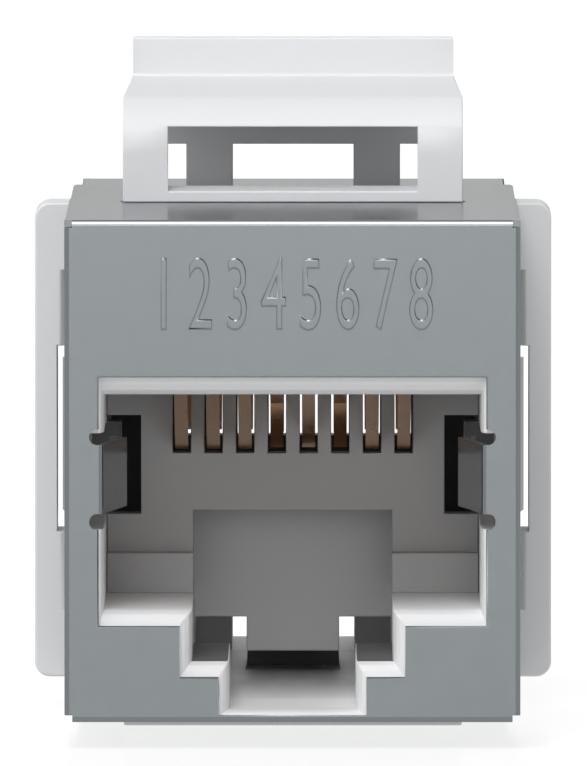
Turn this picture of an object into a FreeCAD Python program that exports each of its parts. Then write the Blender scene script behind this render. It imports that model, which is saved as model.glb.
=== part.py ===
"""Shielded in-line coupler for a keystone opening, with a modular socket at each end.

The frame: X across, Y from the front face to the rear face, Z up, and the origin at the middle of the
hook that the coupler stands on. Lengths are in millimetres. Depths are measured back from the face of
the nearer port and levels up from the underside of the front shield.
"""
import FreeCAD, Part
import math
import os
import Sketcher

# Driving sizes: name, value, what it is
SIZES = [
    ("sheet", 0.2, "thickness of both shields"),
    ("fold_radius", 0.18, "outer radius of the front shield's folds"),
    ("rear_fold_radius", 0.06, "outer radius of the rear shield's folds"),
    ("corner_relief", 0.25, "square corner of the top plate, where the folds stop"),
    ("relief_depth", 0.5, "how far that corner runs back"),
    ("relief_gap", 0.04, "slit under that corner"),
    ("seam_inset", 0.25, "bottom plate's edge in from the side wall"),
    ("seam_gap", 0.024, "side wall above the bottom plate"),
    ("edge_round", 0.05, "rounded edges of the shield's opening"),
    ("fit_clearance", 0.02, "gap between a moulding and its shield"),
    ("lap_gap", 0.13, "gap between the telescoped top plates"),
    ("side_step", 0.07, "rear shield in from the front one's inside"),
    ("lap_length", 2.0, "how far the rear shield slides under the front one"),
    ("butt_gap", 0.05, "gap where two edges meet end to end"),
    ("port_width", 11.98, "plug cavity"),
    ("port_height", 6.83, "plug cavity above its side floors"),
    ("port_depth", 9.8, "face to comb wall"),
    ("key_width", 6.38, "wide step of the keyway"),
    ("key_height", 1.625, "wide step of the keyway"),
    ("catch_width", 4.02, "narrow step of the keyway"),
    ("catch_height", 1.345, "narrow step of the keyway"),
    ("floor_web", 0.4, "moulding under the narrow step"),
    ("socket_wall", 1.044, "side wall of the plug cavity"),
    ("upper_space", 5.4, "plug cavity to the top plate"),
    ("upper_wall", 1.1, "walls of the hollow over the plug cavity"),
    ("key_run", 9.2, "face to the end of the wide step's floor"),
    ("ramp_rise", 0.2, "lead-in ramp of the narrow step"),
    ("ramp_end", 2.5, "face to the top of the lead-in ramp"),
    ("lip_depth", 0.8, "run of the rounded lip"),
    ("lip_side", 0.178, "lip beside the plug cavity"),
    ("lip_top", 0.59, "lip over the plug cavity"),
    ("lip_bottom", 0.5, "lip under the side floors and the wide step"),
    ("lip_step", 0.4, "lip beside the wide step"),
    ("lip_catch", 0.345, "lip beside the narrow step"),
    ("lip_sill", 0.18, "lip under the narrow step"),
    ("finger_level", 3.07, "ground finger above the side floors"),
    ("finger_height", 2.2, "ground finger"),
    ("finger_length", 4.5, "ground finger, fold to heel"),
    ("finger_proud", 0.132, "finger's face inside the shield's opening"),
    ("finger_slant", 0.745, "how far the heel leans into the port"),
    ("finger_tip", 0.9, "bent-back end of the finger"),
    ("finger_turn", 0.4, "how far the bent-back end turns away"),
    ("finger_room", 0.36, "gap over a ground finger in the socket wall"),
    ("finger_flex", 0.48, "room for a finger behind the socket wall's face"),
    ("relief_width", 0.5, "slot above and below a finger's root"),
    ("relief_reach", 0.3, "how far that slot runs into the plate"),
    ("comb_wall", 1.2, "wall with the contact slots"),
    ("pocket_width", 1.11, "pocket in the comb wall behind a finger"),
    ("pocket_below", 0.565, "pocket below the finger"),
    ("pocket_above", 0.41, "pocket above the finger"),
    ("pocket_web", 0.4, "wall behind the pockets of the rear comb"),
    ("window_height", 2.62, "keyway window in the comb wall"),
    ("ledge_height", 1.285, "plug stop at each side of the window"),
    ("ledge_depth", 0.8, "plug stop, proud of the comb wall"),
    ("block_width", 10.2, "roof of the contact block"),
    ("block_roof", 1.3, "roof of the contact block"),
    ("bay_front", 1.5, "face to the contact block's bay"),
    ("block_margin", 1.2, "contact block past its last tails"),
    ("contact_pitch", 1.02, "spacing of the contacts"),
    ("contact_width", 0.42, "contact strip"),
    ("contact_strip", 0.28, "contact strip, thickness"),
    ("contact_bend", 0.26, "outer radius of the contact bends"),
    ("contact_front", 1.8, "face to the contact's front bend"),
    ("contact_level", 0.56, "contact's upper run above the plug cavity"),
    ("contact_rise", 0.12, "front bend above the roof of the plug cavity"),
    ("contact_tip", 0.12, "contact's free end above its slot's floor"),
    ("tip_inset", 0.1, "contact's free end into the comb wall"),
    ("knee_inset", 0.05, "where the three middle contacts bend down, into the comb wall"),
    ("drop_inset", 1.25, "their free ends, behind the comb wall's face"),
    ("knee_level", 0.63, "where the middle contact bends, above its slot's floor"),
    ("high_knee", 1.6, "where the two beside it bend"),
    ("slot_width", 0.58, "contact slot"),
    ("slot_drop", 2.37, "floor of the contact slots below the roof"),
    ("rear_slot_extra", 0.27, "more depth of the rear contact slots"),
    ("tail_inset", 2.6, "body front to the first row of tails"),
    ("tail_stagger", 1.4, "between the two rows of tails"),
    ("tail_room", 0.7, "space over the circuit board"),
    ("tail_proud", 0.45, "tail above the circuit board"),
    ("tail_hole", 0.6, "plated hole, diameter"),
    ("board_thickness", 1.0, "circuit board"),
    ("board_margin", 1.0, "circuit board past its outer tails"),
    ("board_corner", 0.6, "corner radius of the circuit board"),
    ("body_length", 15.2, "centre body between the two sockets"),
    ("stop_inset", 3.5, "body front to the stop wall"),
    ("stop_thickness", 3.0, "stop wall across the tunnel"),
    ("stop_gap", 0.51, "under the stop wall, above the wide step"),
    ("stop_shoulder", 1.63, "full width of the stop wall, above the side floors"),
    ("stop_head", 7.2, "upper part of the stop wall, across"),
    ("stop_headroom", 1.1, "stop wall below the contact slots"),
    ("stem_width", 3.0, "stem of the stop wall"),
    ("stem_gap", 0.75, "under the stem, above the narrow step"),
    ("stem_run", 8.0, "rail behind the stem"),
    ("foot_thickness", 0.5, "foot that the rail's end stands on"),
    ("well_inset", 2.2, "stem's face to the well under the rail"),
    ("well_depth", 0.2, "well in the tunnel's floor"),
    ("rib_width", 0.47, "rib at each side of the tunnel's mouth"),
    ("rib_rise", 0.12, "rib above the ground fingers"),
    ("rib_length", 2.0, "rib, front to rear"),
    ("hook_drop", 0.85, "hook below the shield"),
    ("hook_width", 10.9, "hook"),
    ("hook_inset", 0.1, "body front to the hook's catch face"),
    ("hook_rear_inset", 1.7, "hook's end to the body's rear"),
    ("hook_ramp", 2.2, "run of the ramp at the hook's end"),
    ("ear_reach", 1.152, "ear beside the shield"),
    ("ear_inset", 8.2, "body front to the ears"),
    ("ear_depth", 3.0, "ear, front to rear"),
    ("ear_bottom_inset", 0.2, "ear above the shield's underside"),
    ("ear_top_inset", 0.35, "ear below the shield's top"),
    ("ear_corner", 0.5, "corner radius of the ears"),
    ("ear_edge", 0.08, "rounded front and rear edges of the ears"),
    ("ear_neck_inset", 0.5, "ear's face to the neck that joins it to the body"),
    ("ear_slot_level", 4.93, "slot through an ear"),
    ("ear_slot_height", 6.06, "slot through an ear"),
    ("ear_slot_width", 0.423, "slot through an ear, beside the shield"),
    ("ear_recess_below", 2.54, "shallow recess below the slot"),
    ("ear_recess_above", 2.46, "shallow recess above the slot"),
    ("ear_recess_width", 0.315, "shallow recess, beside the shield"),
    ("ear_recess_depth", 0.25, "shallow recess, back from the ear's face"),
    ("shield_inset", 1.7, "front shield's rear edge to the body's rear"),
    ("side_gap", 0.2, "front shield's side wall to the ear"),
    ("tongue_height", 5.0, "sprung tongue in the ear's slot"),
    ("tongue_flare", 0.28, "how far the tongue springs out"),
    ("tongue_past", 0.3, "tongue's end behind the ear"),
    ("trim_start", 15.4, "face to where the top plate narrows"),
    ("trim_width", 0.06, "how much it narrows at each side"),
    ("latch_width", 10.97, "latch at its front"),
    ("latch_rear_width", 10.44, "latch at its rear"),
    ("latch_inset", 0.95, "body front to the latch"),
    ("latch_rear_inset", 1.6, "latch's rear to the body's rear"),
    ("latch_wall", 1.15, "front wall of the latch"),
    ("latch_lift", 0.05, "gap between the latch and the top plate"),
    ("skirt_depth", 0.35, "front edge of the latch's bar that hides the gap"),
    ("skirt_lift", 0.01, "gap under that edge"),
    ("latch_side_gap", 0.06, "gap beside the latch in its slot"),
    ("post_width", 1.46, "posts beside the latch window"),
    ("sill_height", 0.36, "front of the bar under the latch window, above the top plate"),
    ("sill_rise", 0.14, "slope of that bar to its rear"),
    ("arch_height", 2.43, "underside of the shelf above the top plate"),
    ("shelf_height", 3.32, "front of the shelf above the top plate"),
    ("shelf_rise", 0.28, "slope of the shelf to its rear"),
    ("shoulder_radius", 1.8, "round front of the shelf"),
    ("arch_radius", 0.5, "round corner inside the arch"),
    ("sill_round", 0.06, "rounded edge of the bar under the window"),
    ("tab_height", 1.26, "thumb tab above the shelf"),
    ("tab_thickness", 1.0, "thumb tab"),
    ("tab_round", 0.08, "rounded top of the thumb tab"),
    ("tab_fillet", 0.1, "inside corner of the thumb tab and the shelf"),
    ("bar_level", 1.38, "rear bar above the top plate"),
    ("leg_thickness", 1.2, "rear bar and legs"),
    ("leg_width", 1.525, "legs"),
    ("leg_spacing", 5.47, "between the middles of the legs"),
    ("leg_reach", 1.0, "legs below the top of the shield"),
    ("press_room", 1.1, "space under the legs for the press"),
    ("swing_room", 0.2, "space beside the latch for its swing"),
    ("bead_radius", 0.45, "hinge bead of the latch"),
    ("bead_depth", 1.0, "hinge axis below the top of the shield"),
    ("bead_clearance", 0.05, "running clearance of the hinge bead"),
    ("neck_width", 0.7, "latch foot above its hinge bead"),
]
CONTACT_COUNT = 8
DEEP_CONTACTS = (3, 4, 5)
HIGH_CONTACTS = (3, 5)
SIDES = (1, -1)
OVERCUT = 1.0
LIP_STEPS = 4
SAME_PLACE = 1e-4

# Sketch planes: the origin plane across each axis, and whether its normal runs along the axis
PLANES = {"X": ("YZ_Plane", 1), "Y": ("XZ_Plane", -1), "Z": ("XY_Plane", 1)}


class Size:
    """A length with the spreadsheet expression that gives it."""

    def __init__(self, value, text):
        self.value = value
        self.text = text

    @staticmethod
    def of(length):
        """Take a bare number or a Size as a Size."""
        return length if isinstance(length, Size) else Size(float(length), f"({length})")

    def combine(self, other, sign, result):
        """Join two sizes in one expression."""
        return Size(result, f"({self.text} {sign} {other.text})")

    def __add__(self, other):
        other = Size.of(other)
        return self.combine(other, "+", self.value + other.value)

    def __sub__(self, other):
        other = Size.of(other)
        return self.combine(other, "-", self.value - other.value)

    def __mul__(self, other):
        other = Size.of(other)
        return self.combine(other, "*", self.value * other.value)

    def __truediv__(self, other):
        other = Size.of(other)
        return self.combine(other, "/", self.value / other.value)

    def __neg__(self):
        return Size(-self.value, f"(-{self.text})")


class Sizes:
    """The spreadsheet's sizes, one attribute for each alias."""

    def __init__(self, document):
        sheet = document.addObject("Spreadsheet::Sheet", "Sizes")
        for row, (alias, value, note) in enumerate(SIZES, start=1):
            sheet.set(f"A{row}", alias)
            sheet.set(f"B{row}", str(value))
            sheet.setAlias(f"B{row}", alias)
            sheet.set(f"C{row}", note)
            setattr(self, alias, Size(value, f"Sizes.{alias}"))


doc = FreeCAD.newDocument("KeystoneCoupler")
size = Sizes(doc)
doc.recompute()

# Levels above the underside of the front shield
CATCH_FLOOR = size.sheet + size.floor_web
SILL = CATCH_FLOOR - size.ramp_rise
KEY_FLOOR = CATCH_FLOOR + size.catch_height
PORT_FLOOR = KEY_FLOOR + size.key_height
PORT_ROOF = PORT_FLOOR + size.port_height
TOP_UNDERSIDE = PORT_ROOF + size.upper_space
SHIELD_TOP = TOP_UNDERSIDE + size.sheet
BLOCK_TOP = PORT_ROOF + size.block_roof
BOARD_TOP = BLOCK_TOP + size.board_thickness
TUNNEL_TOP = BOARD_TOP + size.tail_room
SLOT_FLOOR = PORT_ROOF - size.slot_drop
FINGER_BOTTOM = PORT_FLOOR + size.finger_level
FINGER_TOP = FINGER_BOTTOM + size.finger_height
CONTACT_RUN = PORT_ROOF + size.contact_level

# Half widths
PORT_HALF = size.port_width / 2
KEY_HALF = size.key_width / 2
CATCH_HALF = size.catch_width / 2
OPENING_HALF = PORT_HALF + size.lip_side
SHIELD_INNER = PORT_HALF + size.socket_wall + size.fit_clearance
SHIELD_OUTER = SHIELD_INNER + size.sheet
REAR_SHIELD_OUTER = SHIELD_INNER - size.side_step
EAR_OUTER = SHIELD_OUTER + size.ear_reach

# Depths behind the front face
BODY_FRONT = size.port_depth + size.comb_wall
BODY_REAR = BODY_FRONT + size.body_length
OVERALL_LENGTH = BODY_REAR + size.port_depth
SHIELD_END = BODY_REAR - size.shield_inset
EAR_FRONT = BODY_FRONT + size.ear_inset
EAR_REAR = EAR_FRONT + size.ear_depth
LATCH_FRONT = BODY_FRONT + size.latch_inset
LATCH_REAR = BODY_REAR - size.latch_rear_inset
LEG_FRONT = LATCH_REAR - size.leg_thickness
HINGE_DEPTH = LATCH_FRONT + size.latch_wall / 2
FIRST_TAIL = BODY_FRONT + size.tail_inset
LAST_TAIL = FIRST_TAIL + size.tail_stagger

# The rear shield stands as much lower as the front one's top plate and gap take up
REAR_SHIELD_TOP = TOP_UNDERSIDE - size.lap_gap
HINGE_LEVEL = SHIELD_TOP - size.bead_depth


def depth(distance):
    """Turn a depth behind the front face into Y."""
    return Size.of(distance) - OVERALL_LENGTH / 2


def depth_from_rear(distance):
    """Turn a depth in front of the rear face into Y."""
    return OVERALL_LENGTH / 2 - Size.of(distance)


def level(height):
    """Turn a level above the shield's underside into Z."""
    return Size.of(height) + size.hook_drop


def new_body(label):
    """Start a piece that carries its node's name."""
    body = doc.addObject("PartDesign::Body", label)
    body.Label = label
    return body


def origin_feature(body, role):
    """Find one of a body's origin planes or axes by its role."""
    return next(feature for feature in body.Origin.OriginFeatures if feature.Role == role)


def sketch_across(body, axis, place):
    """Attach a sketch to the body's plane across an axis, moved along it to a place."""
    role, sense = PLANES[axis]
    sketch = body.newObject("Sketcher::SketchObject", f"{body.Name}_sketch")
    sketch.AttachmentSupport = [(origin_feature(body, role), "")]
    sketch.MapMode = "FlatFace"
    offset = place * sense
    sketch.AttachmentOffset = FreeCAD.Placement(FreeCAD.Vector(0, 0, offset.value), FreeCAD.Rotation())
    sketch.setExpression("AttachmentOffset.Base.z", offset.text)
    return sketch


def tie(sketch, kind, geometry, point, length):
    """Hold a sketch point at a spreadsheet distance from the sketch's origin."""
    rule = Sketcher.Constraint(kind, -1, 1, geometry, point, length.value)
    sketch.setExpression(f"Constraints[{sketch.addConstraint(rule)}]", length.text)


def draw_outline(sketch, corners):
    """Draw a closed outline with every corner tied to the spreadsheet."""
    places = [(Size.of(across), Size.of(up)) for across, up in corners]
    points = [FreeCAD.Vector(across.value, up.value, 0) for across, up in places]
    first = sketch.GeometryCount
    count = len(points)
    for index in range(count):
        sketch.addGeometry(Part.LineSegment(points[index], points[(index + 1) % count]))
    for index, (across, up) in enumerate(places):
        following = first + (index + 1) % count
        sketch.addConstraint(Sketcher.Constraint("Coincident", first + index, 2, following, 1))
        tie(sketch, "DistanceX", first + index, 1, across)
        tie(sketch, "DistanceY", first + index, 1, up)


def draw_circle(sketch, across, up, radius):
    """Draw a circle with its middle and radius tied to the spreadsheet."""
    middle = FreeCAD.Vector(across.value, up.value, 0)
    circle = sketch.addGeometry(Part.Circle(middle, FreeCAD.Vector(0, 0, 1), radius.value))
    rule = sketch.addConstraint(Sketcher.Constraint("Radius", circle, radius.value))
    sketch.setExpression(f"Constraints[{rule}]", radius.text)
    tie(sketch, "DistanceX", circle, 3, across)
    tie(sketch, "DistanceY", circle, 3, up)


def extrude(body, sketch, axis, start, end, cut):
    """Pad or pocket a sketch along an axis, from its own plane to another place."""
    kind = "PartDesign::Pocket" if cut else "PartDesign::Pad"
    before = body.Shape.Volume if body.Tip else 0.0
    feature = body.newObject(kind, f"{body.Name}_{'cut' if cut else 'pad'}")
    feature.Profile = sketch
    feature.setExpression("Length", (end - start).text)
    runs_along_normal = PLANES[axis][1] > 0
    feature.Reversed = runs_along_normal == cut
    doc.recompute()
    change = feature.Shape.Volume - before
    if (change < 0) != cut:
        raise ValueError(f"{feature.Name} of {body.Label} has no effect")
    return feature


def slab(body, axis, outlines, start, end, cut=False):
    """Pad or pocket closed outlines along an axis between two places."""
    start, end = Size.of(start), Size.of(end)
    if start.value > end.value:
        start, end = end, start
    sketch = sketch_across(body, axis, start)
    for corners in outlines:
        draw_outline(sketch, corners)
    return extrude(body, sketch, axis, start, end, cut)


def rods(body, axis, circles, start, end, cut=False):
    """Pad or pocket circles along an axis between two places."""
    sketch = sketch_across(body, axis, start)
    for across, up, radius in circles:
        draw_circle(sketch, across, up, radius)
    return extrude(body, sketch, axis, start, end, cut)


def rectangle(low_across, high_across, low_up, high_up):
    """Corners of a rectangle."""
    return [(low_across, low_up), (high_across, low_up), (high_across, high_up), (low_across, high_up)]


def edge_names(shape, axis, places):
    """Names of the straight edges along an axis that pass through the given places."""
    others = [index for index in range(3) if index != "XYZ".index(axis)]
    wanted = [[Size.of(place).value for place in pair] for pair in places]
    names = []
    for number, edge in enumerate(shape.Edges, start=1):
        ends = [vertex.Point for vertex in edge.Vertexes]
        if len(ends) != 2:
            continue
        for pair in wanted:
            gaps = [abs(end[other] - place) for end in ends for other, place in zip(others, pair)]
            if max(gaps) < SAME_PLACE:
                names.append(f"Edge{number}")
                break
    return names


def round_edges(body, radius, *groups):
    """Round the edges of the newest feature that lie at the given places along each axis."""
    base = body.Tip
    names = [name for axis, places in groups for name in edge_names(base.Shape, axis, places)]
    if not names:
        raise ValueError(f"{body.Label} has no such edge to round")
    feature = body.newObject("PartDesign::Fillet", f"{body.Name}_round")
    feature.Base = (base, names)
    feature.setExpression("Radius", radius.text)
    doc.recompute()
    return feature


def repeat_across(body, original, count):
    """Repeat a feature along X at the contact pitch."""
    pattern = body.newObject("PartDesign::LinearPattern", f"{body.Name}_pattern")
    pattern.Originals = [original]
    pattern.Direction = (origin_feature(body, "X_Axis"), [""])
    pattern.setExpression("Length", (size.contact_pitch * (count - 1)).text)
    pattern.Occurrences = count
    body.Tip = pattern
    doc.recompute()
    return pattern


def mirrored(right):
    """Close an outline from its right half."""
    return right + [(-across, up) for across, up in reversed(right)]


def plug_outline(catch_floor):
    """Outline of the plug cavity: the main opening and the two keyway steps under it."""
    return mirrored([
        (CATCH_HALF, level(catch_floor)),
        (CATCH_HALF, level(KEY_FLOOR)),
        (KEY_HALF, level(KEY_FLOOR)),
        (KEY_HALF, level(PORT_FLOOR)),
        (PORT_HALF, level(PORT_FLOOR)),
        (PORT_HALF, level(PORT_ROOF)),
    ])


def opening_outline():
    """Outline of the shield's opening, larger than the plug cavity by the lip."""
    return mirrored([
        (CATCH_HALF + size.lip_catch, level(SILL - size.lip_sill)),
        (CATCH_HALF + size.lip_catch, level(KEY_FLOOR - size.lip_bottom)),
        (KEY_HALF + size.lip_step, level(KEY_FLOOR - size.lip_bottom)),
        (KEY_HALF + size.lip_step, level(PORT_FLOOR - size.lip_bottom)),
        (OPENING_HALF, level(PORT_FLOOR - size.lip_bottom)),
        (OPENING_HALF, level(PORT_ROOF + size.lip_top)),
    ])


def shield_shell(label, place, half, top, length, fold):
    """Fold a shell open at its back, with its seams, the port opening and the ground fingers."""
    body = new_body(label)
    inner = half - size.sheet
    slab(body, "Y", [rectangle(-half, half, level(0), level(top))], place(0), place(length))
    face_edges = [(place(0), level(0)), (place(0), level(top))]
    upright_edges = [(half, place(0)), (-half, place(0))]
    long_edges = [(side, up) for side in (half, -half) for up in (level(0), level(top))]
    round_edges(body, fold, ("X", face_edges), ("Z", upright_edges), ("Y", long_edges))
    hollow = rectangle(-inner, inner, level(size.sheet), level(top - size.sheet))
    slab(body, "Y", [hollow], place(size.sheet), place(length + OVERCUT), cut=True)
    beyond = half + OVERCUT
    seam = half - size.seam_inset
    seam_top = level(size.sheet + size.seam_gap)
    seams = [rectangle(seam * side, beyond * side, level(-OVERCUT), seam_top) for side in SIDES]
    slab(body, "Y", seams, place(-OVERCUT), place(length + OVERCUT), cut=True)
    corner = half - size.corner_relief
    corner_low = top - size.sheet
    slit_low = level(corner_low - size.relief_gap)
    notches = [rectangle(corner * side, beyond * side, slit_low, level(top + OVERCUT)) for side in SIDES]
    slab(body, "Y", notches, place(-OVERCUT), place(size.relief_depth), cut=True)
    corners = [rectangle(corner * side, half * side, level(corner_low), level(top)) for side in SIDES]
    slab(body, "Y", corners, place(0), place(size.relief_depth))
    slab(body, "Y", [opening_outline()], place(-OVERCUT), place(size.sheet), cut=True)
    rim_levels = [KEY_FLOOR - size.lip_bottom, PORT_FLOOR - size.lip_bottom, PORT_ROOF + size.lip_top]
    rim = [(place(0), level(up)) for up in rim_levels]
    sides = [(OPENING_HALF * side, place(0)) for side in SIDES]
    round_edges(body, size.edge_round, ("X", rim), ("Z", sides))
    cut_finger_reliefs(body, place)
    for side in SIDES:
        slab(body, "Z", [finger_outline(place, side)], level(FINGER_BOTTOM), level(FINGER_TOP))
    roots = [((OPENING_HALF - size.finger_proud) * side, place(0)) for side in SIDES]
    round_edges(body, fold, ("Z", roots))
    return body


def cut_finger_reliefs(body, place):
    """Cut the round-ended slots that free each ground finger's root from the face plate."""
    radius = size.relief_width / 2
    slot_middle = OPENING_HALF + size.relief_reach - radius
    levels = [level(FINGER_BOTTOM - radius), level(FINGER_TOP + radius)]
    straight = []
    ends = []
    for side in SIDES:
        for middle in levels:
            inside = (OPENING_HALF - size.relief_reach) * side
            straight.append(rectangle(inside, slot_middle * side, middle - radius, middle + radius))
            ends.append((slot_middle * side, middle, radius))
    slab(body, "Y", straight, place(-OVERCUT), place(size.sheet), cut=True)
    near, far = sorted((place(-OVERCUT), place(size.sheet)), key=lambda end: end.value)
    rods(body, "Y", ends, near, far, cut=True)


def finger_outline(place, side):
    """Plan of one ground finger: folded in from the face plate, leaning in, with a bent-back end."""
    root_inner = OPENING_HALF - size.finger_proud
    root_outer = root_inner + size.sheet
    heel_inner = root_inner - size.finger_slant
    heel_outer = root_outer - size.finger_slant
    tip_depth = size.finger_length + size.finger_tip
    corners = [
        (root_outer + size.relief_reach, 0),
        (root_inner, 0),
        (heel_inner, size.finger_length),
        (heel_inner + size.finger_turn, tip_depth),
        (heel_outer + size.finger_turn, tip_depth),
        (heel_outer, size.finger_length),
        (root_outer, size.sheet),
        (root_outer + size.relief_reach, size.sheet),
    ]
    return [(across * side, place(back)) for across, back in corners]


def make_front_shield():
    """The long shield: its side walls stop at the ears, and slots let the latch's foot and hook through."""
    body = shield_shell("front_shield", depth, SHIELD_OUTER, SHIELD_TOP, SHIELD_END, size.fold_radius)
    wall_end = EAR_FRONT - size.side_gap
    tab_end = EAR_FRONT + size.ear_recess_depth - size.side_gap
    tab_bottom = size.ear_slot_level - size.ear_recess_below + size.side_gap
    tab_top = size.ear_slot_level + size.ear_slot_height + size.ear_recess_above - size.side_gap
    past_end = SHIELD_END + OVERCUT
    removed = [
        (wall_end, size.sheet),
        (past_end, size.sheet),
        (past_end, TOP_UNDERSIDE),
        (wall_end, TOP_UNDERSIDE),
        (wall_end, tab_top),
        (tab_end, tab_top),
        (tab_end, tab_bottom),
        (wall_end, tab_bottom),
    ]
    side_cut = [(depth(back), level(up)) for back, up in removed]
    slab(body, "X", [side_cut], -SHIELD_OUTER - OVERCUT, SHIELD_OUTER + OVERCUT, cut=True)
    slot_middle = size.ear_slot_level + size.ear_slot_height / 2
    tongue_end = EAR_REAR + size.tongue_past
    for side in SIDES:
        tongue = [
            (SHIELD_INNER * side, depth(tab_end)),
            (SHIELD_OUTER * side, depth(tab_end)),
            ((SHIELD_OUTER + size.tongue_flare) * side, depth(tongue_end)),
            ((SHIELD_INNER + size.tongue_flare) * side, depth(tongue_end)),
        ]
        low = level(slot_middle - size.tongue_height / 2)
        slab(body, "Z", [tongue], low, low + size.tongue_height)
    slot_half = size.latch_width / 2 + size.latch_side_gap
    slot_front = depth(HINGE_DEPTH - size.neck_width / 2 - size.swing_room / 2)
    slot_rear = depth(HINGE_DEPTH + size.neck_width / 2 + size.swing_room)
    foot_slot = rectangle(-slot_half, slot_half, slot_front, slot_rear)
    leg_notch = rectangle(-slot_half, slot_half, depth(LEG_FRONT - size.swing_room), depth(past_end))
    top_start = level(TOP_UNDERSIDE - OVERCUT)
    past_top = level(SHIELD_TOP + OVERCUT)
    slab(body, "Z", [foot_slot, leg_notch], top_start, past_top, cut=True)
    trim = SHIELD_OUTER - size.trim_width
    past_side = SHIELD_OUTER + OVERCUT
    trims = [
        rectangle(trim * side, past_side * side, depth(size.trim_start), depth(past_end))
        for side in SIDES
    ]
    slab(body, "Z", trims, level(TOP_UNDERSIDE), past_top, cut=True)
    hook_half = size.hook_width / 2 + size.fit_clearance
    hook_front = depth(BODY_FRONT + size.hook_inset - size.fit_clearance)
    hook_slot = rectangle(-hook_half, hook_half, hook_front, depth(past_end))
    slab(body, "Z", [hook_slot], level(-OVERCUT), level(size.sheet), cut=True)
    return body


def make_rear_shield():
    """The short shield: narrower, its top slides under the front one and its floor meets it end to end."""
    top_length = OVERALL_LENGTH - SHIELD_END + size.lap_length
    place = depth_from_rear
    body = shield_shell("rear_shield", place, REAR_SHIELD_OUTER, REAR_SHIELD_TOP, top_length,
                        size.rear_fold_radius)
    floor_length = OVERALL_LENGTH - SHIELD_END - size.butt_gap
    side_length = size.port_depth - size.butt_gap
    past_end = top_length + OVERCUT
    inner_top = level(REAR_SHIELD_TOP - size.sheet)
    whole = REAR_SHIELD_OUTER + OVERCUT
    side_cut = rectangle(place(past_end), place(side_length), level(size.sheet), inner_top)
    slab(body, "X", [side_cut], -whole, whole, cut=True)
    floor_cut = rectangle(-whole, whole, place(past_end), place(floor_length))
    slab(body, "Z", [floor_cut], level(-OVERCUT), level(size.sheet), cut=True)
    notch_half = size.latch_width / 2 + size.latch_side_gap
    notch_rear = depth(LATCH_REAR + size.swing_room)
    notch = rectangle(-notch_half, notch_half, place(past_end), notch_rear)
    slab(body, "Z", [notch], inner_top - OVERCUT, level(REAR_SHIELD_TOP + OVERCUT), cut=True)
    return body


def make_socket(label, place, half, top, length):
    """One plug socket: stepped cavity, rounded lip, bay for the contact block and grooves for the fingers."""
    body = new_body(label)
    front = size.sheet
    slab(body, "Y", [rectangle(-half, half, level(size.sheet), level(top))], place(front), place(length))
    cavity = plug_outline(CATCH_FLOOR)
    slab(body, "Y", [cavity], place(front - OVERCUT), place(length + OVERCUT), cut=True)
    step_end = rectangle(-KEY_HALF, KEY_HALF, level(CATCH_FLOOR), level(PORT_FLOOR))
    slab(body, "Y", [step_end], place(size.key_run), place(length + OVERCUT), cut=True)
    ramp = [
        (place(front - OVERCUT), level(SILL)),
        (place(front + size.lip_depth), level(SILL)),
        (place(size.ramp_end), level(CATCH_FLOOR)),
        (place(front - OVERCUT), level(KEY_FLOOR)),
    ]
    slab(body, "X", [ramp], -CATCH_HALF, CATCH_HALF, cut=True)
    cut_lip(body, place, front)
    bay_half = size.block_width / 2 + size.fit_clearance
    bay_floor = level(PORT_ROOF - size.fit_clearance)
    bay = rectangle(-bay_half, bay_half, bay_floor, level(BLOCK_TOP + size.fit_clearance))
    slab(body, "Y", [bay], place(size.bay_front), place(length + OVERCUT), cut=True)
    groove_low = level(FINGER_BOTTOM - size.relief_width)
    groove_high = level(FINGER_TOP + size.finger_room)
    groove_inner = PORT_HALF - size.finger_flex
    groove_outer = PORT_HALF + size.finger_flex
    grooves = [
        rectangle(groove_inner * side, groove_outer * side, groove_low, groove_high)
        for side in SIDES
    ]
    slab(body, "Y", grooves, place(front - OVERCUT), place(length + OVERCUT), cut=True)
    hollow_half = half - size.upper_wall
    hollow_floor = level(BLOCK_TOP + size.upper_wall)
    hollow = rectangle(-hollow_half, hollow_half, hollow_floor, level(top - size.upper_wall))
    slab(body, "Y", [hollow], place(size.bay_front), place(length + OVERCUT), cut=True)
    return body


def cut_lip(body, place, front):
    """Cut the rounded lip: a loft whose outlines close from the shield's opening to the plug cavity."""
    mouth = opening_outline()
    throat = plug_outline(SILL)
    outlines = []
    for step in range(LIP_STEPS + 1):
        turn = math.pi / 2 * step / LIP_STEPS
        share = 1 - math.sin(turn)
        outline = sketch_across(body, "Y", place(front + size.lip_depth * (1 - math.cos(turn))))
        draw_outline(outline, [
            (near + (wide - near) * share, low + (high - low) * share)
            for (near, low), (wide, high) in zip(throat, mouth)
        ])
        outlines.append(outline)
    lip = body.newObject("PartDesign::SubtractiveLoft", f"{body.Name}_lip")
    lip.Profile = outlines[0]
    lip.Sections = outlines[1:]
    lip.Ruled = True
    doc.recompute()


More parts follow.
